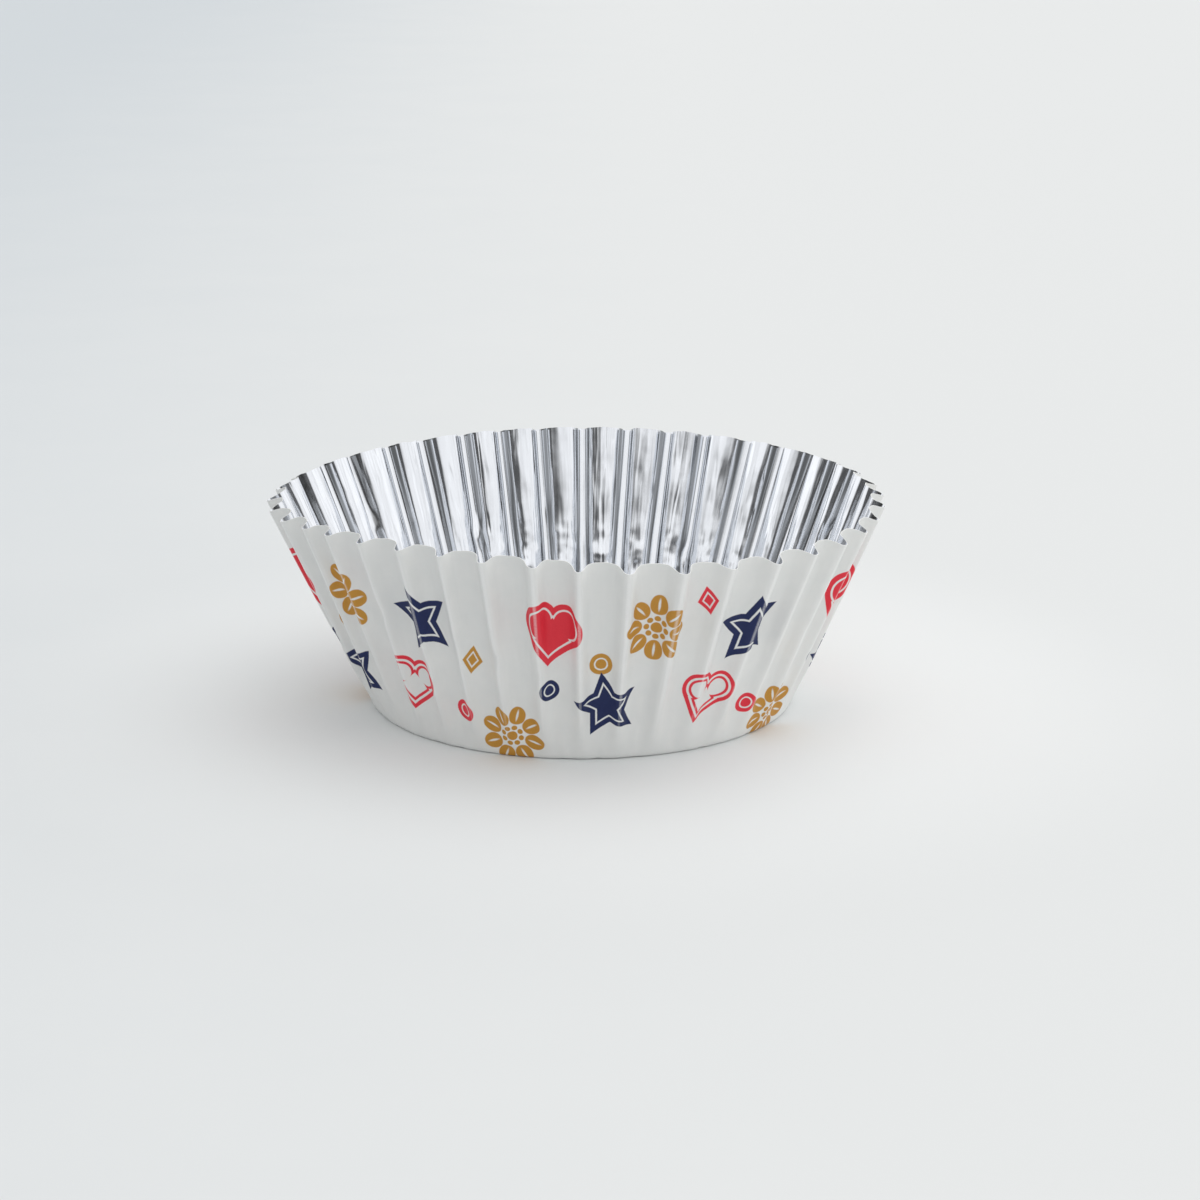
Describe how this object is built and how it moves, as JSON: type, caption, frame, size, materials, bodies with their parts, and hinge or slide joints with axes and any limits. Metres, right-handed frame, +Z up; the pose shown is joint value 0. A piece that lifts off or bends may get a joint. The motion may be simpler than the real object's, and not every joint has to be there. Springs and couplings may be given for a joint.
{
  "type": "cupcake liner",
  "caption": "Round pleated baking cup of foil-lined paper, with a flat base, a flared fluted wall and a scalloped rim, open at the top.",
  "frame": {"origin": "middle of the base's underside, on the surface that the liner stands on", "axes": "+Z up along the liner's axis, one pleat ridge along +X and one along -Y, which is the side that the picture shows"},
  "size_m": [0.0708, 0.0708, 0.0252],
  "materials": {
    "liner_sheet": "white greaseproof paper with a small red, navy and ochre print outside, bright aluminium foil inside"
  },
  "bodies": {
    "root": {"liner": "liner_sheet"}
  },
  "joints": []
}
